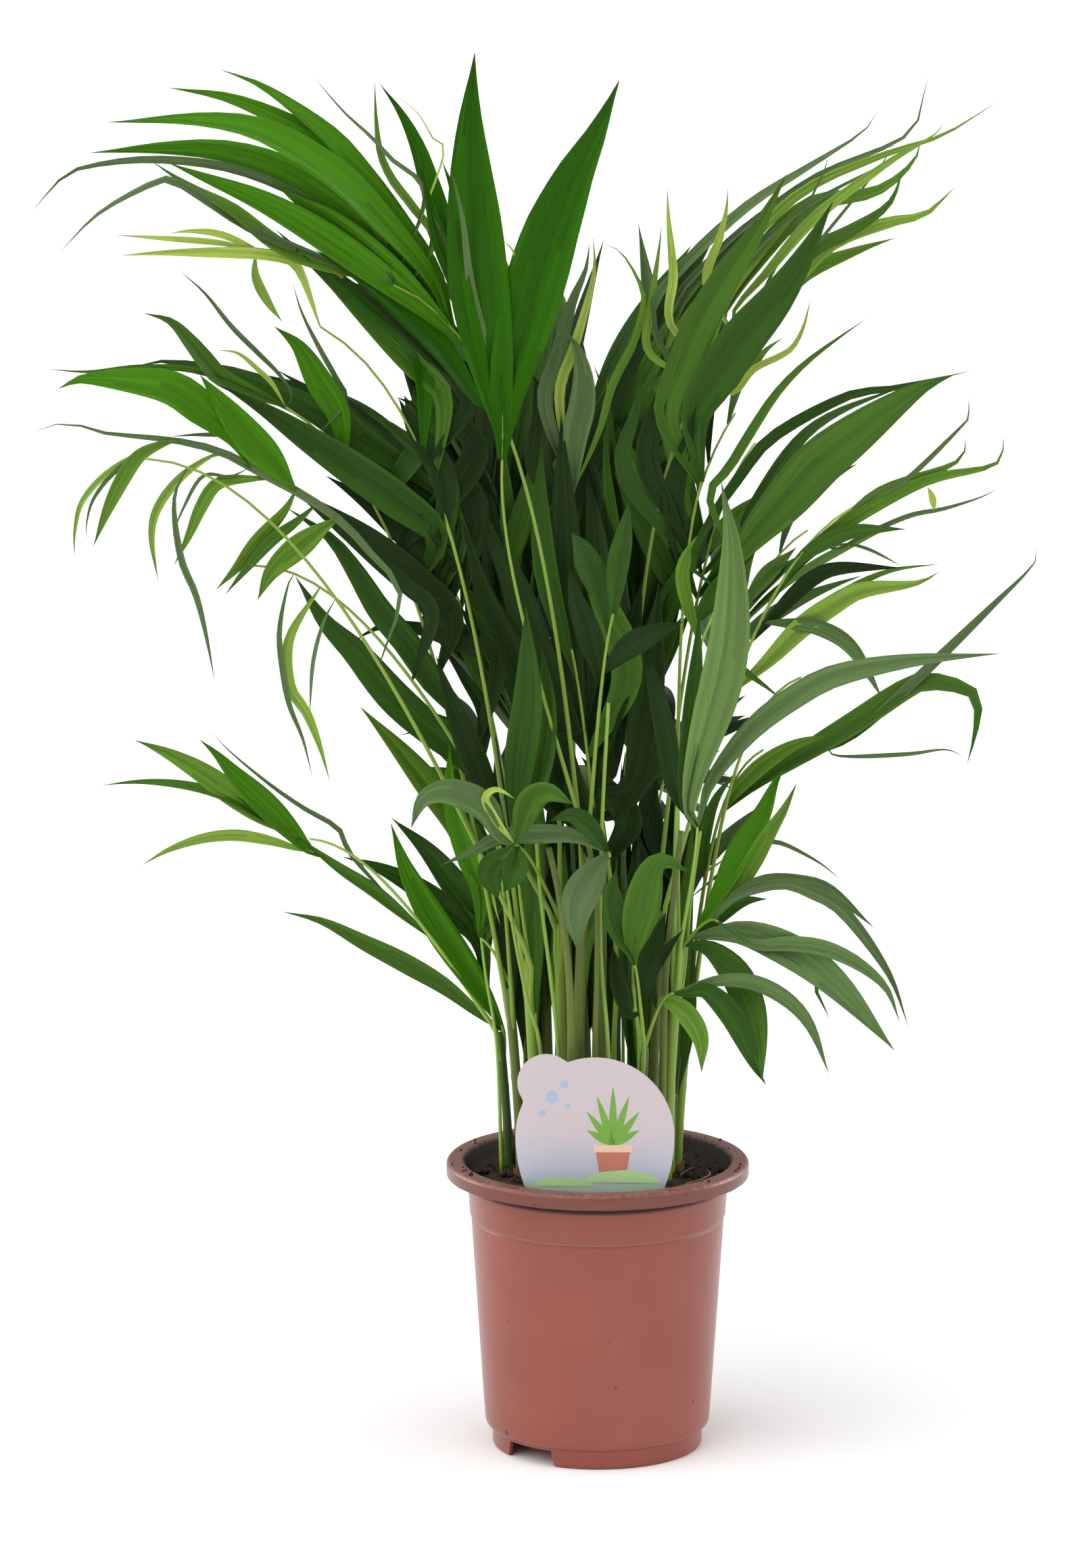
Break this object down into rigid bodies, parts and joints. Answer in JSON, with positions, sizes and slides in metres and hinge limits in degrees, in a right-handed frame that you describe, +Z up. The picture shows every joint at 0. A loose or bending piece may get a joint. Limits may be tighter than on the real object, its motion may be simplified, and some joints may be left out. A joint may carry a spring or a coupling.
{
  "type": "potted areca palm",
  "caption": "Bushy potted palm: slender green stems in a tapered terracotta plastic pot, with arching fronds of long narrow leaflets and a plain plant label.",
  "frame": {"origin": "on the floor under the centre of the pot, at the flat underside", "axes": "+Z up along the pot's axis, -Y towards the front with the label, +X to the right as seen from the front"},
  "size_m": [0.564, 0.4791, 0.7835],
  "materials": {
    "pot": "moulded terracotta plastic with a satin sheen",
    "soil": "damp fibrous peat, matt",
    "label": "pale printed plastic card, satin",
    "stem": "olive green sheathed cane, satin",
    "frond": "green leaf blade with a waxy sheen"
  },
  "bodies": {
    "root": {"pot": "pot", "soil": "soil", "label": "label", "stem_01": "stem", "stem_02": "stem", "stem_03": "stem", "stem_04": "stem", "stem_05": "stem", "stem_06": "stem", "stem_07": "stem", "stem_08": "stem", "stem_09": "stem", "stem_10": "stem", "stem_11": "stem", "stem_12": "stem", "stem_13": "stem", "stem_14": "stem", "stem_15": "stem", "frond_top_left": "frond", "frond_top_left_pair": "frond", "frond_left_high": "frond", "frond_left_middle": "frond", "frond_left_hanging": "frond", "frond_left_blades": "frond", "frond_left_slender": "frond", "frond_left_low": "frond", "frond_left_low_fan": "frond", "frond_left_low_pair": "frond", "frond_centre_upright": "frond", "frond_centre_small": "frond", "frond_centre_fold": "frond", "frond_centre_vee": "frond", "frond_centre_dark": "frond", "frond_centre_tall": "frond", "frond_top_right": "frond", "frond_top_right_blades": "frond", "frond_right_high": "frond", "frond_right_middle": "frond", "frond_right_arching": "frond", "frond_right_pale_blade": "frond", "frond_right_long": "frond", "frond_right_low": "frond", "frond_right_low_front": "frond", "frond_right_low_upright": "frond", "frond_back_tall_left": "frond", "frond_back_tall": "frond", "frond_back_tall_right": "frond", "frond_back_left": "frond", "frond_back_right": "frond", "frond_back_middle": "frond", "frond_back_low_left": "frond", "frond_back_low_right": "frond", "frond_back_low": "frond", "frond_inner_left": "frond", "frond_inner_right": "frond", "frond_front_arching": "frond", "frond_right_back": "frond", "frond_left_back": "frond"}
  },
  "joints": []
}
